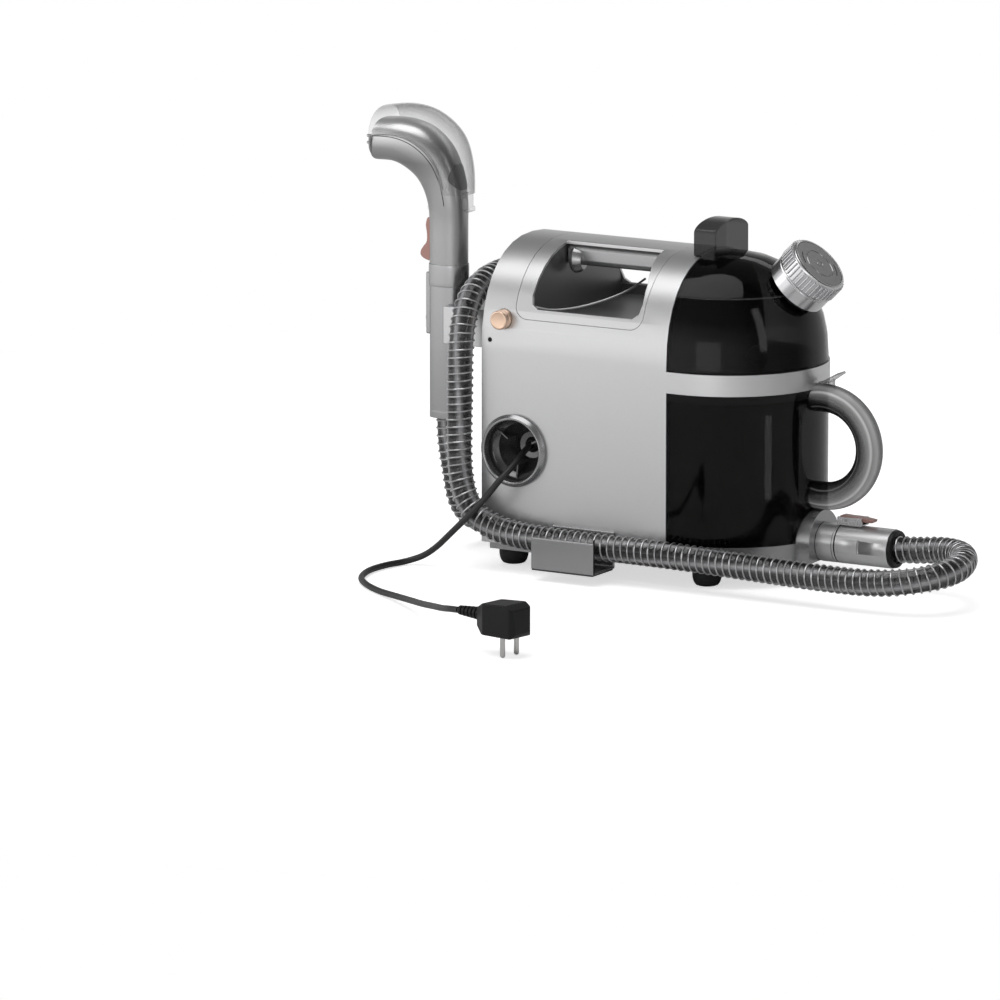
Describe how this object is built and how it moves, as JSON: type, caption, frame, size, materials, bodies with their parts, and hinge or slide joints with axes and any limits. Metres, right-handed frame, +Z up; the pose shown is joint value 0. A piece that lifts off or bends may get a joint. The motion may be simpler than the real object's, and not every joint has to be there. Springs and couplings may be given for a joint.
{
  "type": "portable carpet cleaner",
  "caption": "Portable spot cleaner with arched body, lift-out water tank, dirty-water jug, docked hand tool, wrapped suction hose and mains cord.",
  "frame": {"origin": "middle of the footprint on the floor, measured without the hose, the cord and the plug", "axes": "+X towards the dirty-water jug, -Y towards the side with the cord port and the hose run, +Z up"},
  "size_m": [0.6541, 0.5641, 0.4282],
  "materials": {
    "satin_silver": "satin silver paint on plastic",
    "satin_dark": "satin gunmetal paint on plastic",
    "smoke": "clear dark smoke plastic",
    "clear": "clear plastic",
    "black": "semi-gloss black plastic",
    "graphite": "semi-gloss dark grey plastic",
    "rubber": "matt black rubber",
    "rose": "satin rose-gold paint",
    "steel": "bright steel",
    "pin_metal": "polished plated pins",
    "board": "green circuit board",
    "hose": "clear hose with a grey helix",
    "cord": "black flexible cord",
    "seal": "soft black seal"
  },
  "bodies": {
    "machine": {"main_housing": "satin_silver", "handle_surround": "satin_silver", "carry_grip": "satin_silver", "handle_tub": "black", "base_tray": "satin_silver", "end_cover": "satin_dark", "bulkhead": "black", "foot_front_left": "rubber", "foot_back_left": "rubber", "foot_front_right": "rubber", "foot_back_right": "rubber", "port_ring": "satin_silver", "port_cup": "black", "cord_eyelet": "black", "indicator_lens": "black", "hose_clip": "satin_silver", "dock_bracket": "satin_silver", "hose_hook": "graphite", "inlet_pipe": "satin_silver", "motor_housing": "black", "suction_duct": "black", "water_pump": "black", "water_line": "clear", "circuit_board": "board", "hose_coupling": "satin_silver", "coupling_ring": "black", "paddle_bracket": "satin_silver", "paddle_pin": "steel", "suction_hose": "hose", "mains_cord": "cord", "plug_body": "black", "plug_relief": "black", "plug_pin_near": "pin_metal", "plug_pin_far": "pin_metal"},
    "fan": {"suction_fan": "steel"},
    "cord_reel": {"reel_drum": "black", "cord_winding": "cord"},
    "power_key": {"power_button": "rose"},
    "clean_tank": {"tank_base": "smoke", "tank_top": "smoke", "tank_grip": "smoke", "filler_neck": "black", "tank_valve": "graphite"},
    "tank_cap": {"filler_cap": "satin_silver", "cap_seal": "seal"},
    "dirty_jug": {"jug_shell": "smoke", "jug_lid": "smoke", "jug_handle": "clear", "jug_standpipe": "smoke"},
    "float": {"jug_float": "black"},
    "thumb_lever": {"jug_lever": "clear"},
    "hose_release": {"release_paddle": "rose"},
    "hand_tool": {"wand_grip": "satin_dark", "wand_head": "satin_dark", "nozzle_cover": "clear", "cover_latch": "clear", "spray_jet": "black", "trigger_pin": "steel"},
    "spray_trigger": {"wand_trigger": "rose"},
    "tool_key": {"wand_button": "rose"}
  },
  "joints": [
    {"name": "fan_spin", "type": "hinge", "parent": "machine", "child": "fan", "pos_m": [0, 0.021, 0.09], "axis": [0, 0, 1], "continuous": true},
    {"name": "reel_spin", "type": "hinge", "parent": "machine", "child": "cord_reel", "pos_m": [-0.0884, 0.041, 0.075], "axis": [0, 0, 1], "continuous": true},
    {"name": "power_press", "type": "slide", "parent": "machine", "child": "power_key", "axis": [0, 1, 0], "range_m": [0, 0.003], "stiffness_N_per_m": 400},
    {"name": "tank_lift", "type": "slide", "parent": "machine", "child": "clean_tank", "axis": [0, 0, 1], "range_m": [0, 0.12]},
    {"name": "cap_unscrew", "type": "hinge", "parent": "clean_tank", "child": "tank_cap", "pos_m": [0.156, 0.021, 0.272], "axis": [0.7071, 0, 0.7071], "range_deg": [0, 90]},
    {"name": "jug_pull", "type": "slide", "parent": "machine", "child": "dirty_jug", "axis": [1, 0, 0], "range_m": [0, 0.11]},
    {"name": "float_rise", "type": "slide", "parent": "dirty_jug", "child": "float", "axis": [0, 0, 1], "range_m": [0, 0.01]},
    {"name": "lever_tip", "type": "hinge", "parent": "dirty_jug", "child": "thumb_lever", "pos_m": [0.201, 0.021, 0.186], "axis": [0, 1, 0], "range_deg": [0, 8], "stiffness_Nm_per_rad": 0.2},
    {"name": "release_press", "type": "hinge", "parent": "machine", "child": "hose_release", "pos_m": [0.221, 0.021, 0.0622], "axis": [0, 1, 0], "range_deg": [0, 5], "stiffness_Nm_per_rad": 0.4},
    {"name": "tool_undock", "type": "slide", "parent": "machine", "child": "hand_tool", "axis": [0, 0, 1], "range_m": [0, 0.025]},
    {"name": "trigger_pull", "type": "hinge", "parent": "hand_tool", "child": "spray_trigger", "pos_m": [-0.2045, -0.029, 0.32], "axis": [0, 1, 0], "range_deg": [-4, 0], "stiffness_Nm_per_rad": 0.6},
    {"name": "tool_key_press", "type": "slide", "parent": "hand_tool", "child": "tool_key", "axis": [1, 0, 0], "range_m": [0, 0.002], "stiffness_N_per_m": 300}
  ]
}
